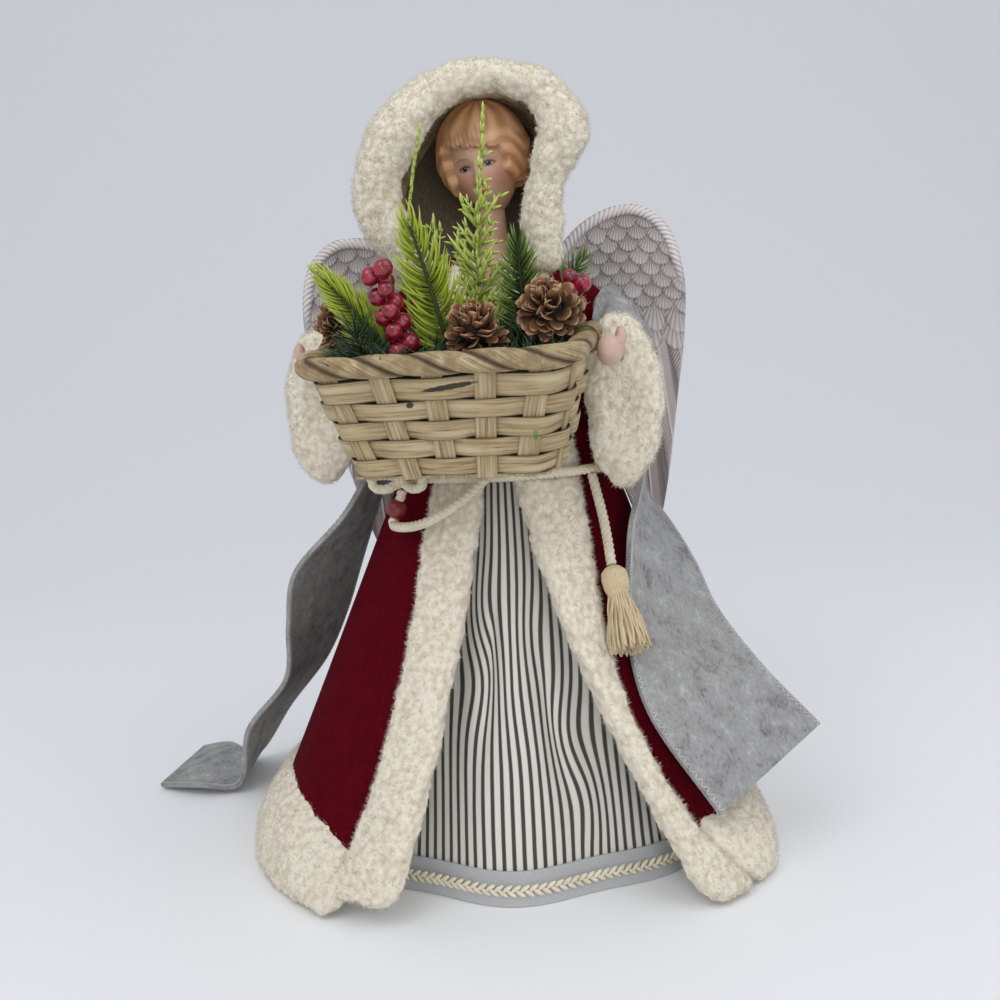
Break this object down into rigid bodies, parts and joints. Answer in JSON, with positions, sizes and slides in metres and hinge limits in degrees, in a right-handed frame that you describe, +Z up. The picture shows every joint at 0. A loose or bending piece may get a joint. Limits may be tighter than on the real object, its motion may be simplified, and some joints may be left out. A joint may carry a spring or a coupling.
{
  "type": "angel tree topper",
  "caption": "Standing angel tree topper with porcelain head, fleece-trimmed hooded felt coat, striped dress, cast wings and a woven basket of greenery.",
  "frame": {"origin": "centre of the hollow card cone's base circle, on the surface that the figure stands on", "axes": "+Z up out of the cone's base, the figure faces -Y, +X is to the right of someone who looks at its face"},
  "size_m": [0.3787, 0.3005, 0.4017],
  "materials": {
    "porcelain": "bisque porcelain with painted hair and features",
    "fleece": "cream nubby sherpa fleece",
    "coat_felt": "deep crimson wool felt",
    "grey_felt": "heather grey felt with overlocked edge",
    "hem_felt": "blue-grey heather felt",
    "ticking": "off-white cotton twill with dark woven stripes",
    "braid": "cream woven braid",
    "cord": "cream twisted cotton cord",
    "tassel_yarn": "tan-cream rayon yarn",
    "bead": "red painted wooden bead",
    "resin": "dry-brushed mauve-grey cast resin",
    "bamboo": "split bamboo strips",
    "card": "moulded card cone",
    "foam": "white hard foam",
    "floral_foam": "green floral foam",
    "steel": "plain steel wire and screws",
    "light_green": "light yellow-green plastic needles",
    "cedar_green": "pale feathery cedar",
    "dark_green": "dark green plastic needles",
    "pine_cone": "natural small pine cone",
    "berry": "lacquered red berries"
  },
  "bodies": {
    "figure": {"body_cone": "card", "torso": "foam", "arm_wire": "steel", "porcelain_head": "porcelain", "right_hand": "porcelain", "left_hand": "porcelain", "ticking_skirt": "ticking", "skirt_hem_band": "hem_felt", "hem_braid": "braid", "coat": "coat_felt", "left_front_trim": "fleece", "right_front_trim": "fleece", "hem_trim": "fleece", "right_sleeve": "coat_felt", "left_sleeve": "coat_felt", "right_cuff": "fleece", "left_cuff": "fleece", "hood": "coat_felt", "hood_trim": "fleece", "felt_stole": "grey_felt", "waist_cord": "cord", "cord_bow": "cord", "cord_swag": "cord", "cord_bead": "bead", "right_wing": "resin", "left_wing": "resin", "wing_bracket": "foam", "right_wing_screw": "steel", "left_wing_screw": "steel", "right_tie_wire": "steel", "left_tie_wire": "steel"},
    "basket": {"basket_stakes": "bamboo", "basket_weaver_1": "bamboo", "basket_weaver_2": "bamboo", "basket_weaver_3": "bamboo", "basket_weaver_4": "bamboo", "basket_weaver_5": "bamboo", "basket_rim": "bamboo", "floral_foam": "floral_foam", "pine_sprig_left": "light_green", "pine_sprig_tall": "light_green", "cedar_sprig": "cedar_green", "fir_sprig_middle": "dark_green", "fir_sprig_right": "dark_green", "needle_tuft_left": "dark_green", "bare_twig": "cedar_green", "pine_cone_left": "pine_cone", "pine_cone_middle": "pine_cone", "pine_cone_right": "pine_cone", "berries_left": "berry", "berries_right": "berry"},
    "tassel_end": {"tassel_cord": "cord", "tassel": "tassel_yarn"}
  },
  "joints": [
    {"name": "basket_rock", "type": "hinge", "parent": "figure", "child": "basket", "pos_m": [-0.02097, -0.08729, 0.26304], "axis": [0.9659, -0.2588, 0], "range_deg": [-10, 6]},
    {"name": "tassel_swing", "type": "hinge", "parent": "figure", "child": "tassel_end", "pos_m": [0.04281, -0.04591, 0.1975], "axis": [-0.7314, -0.682, 0], "range_deg": [0, 40]}
  ]
}
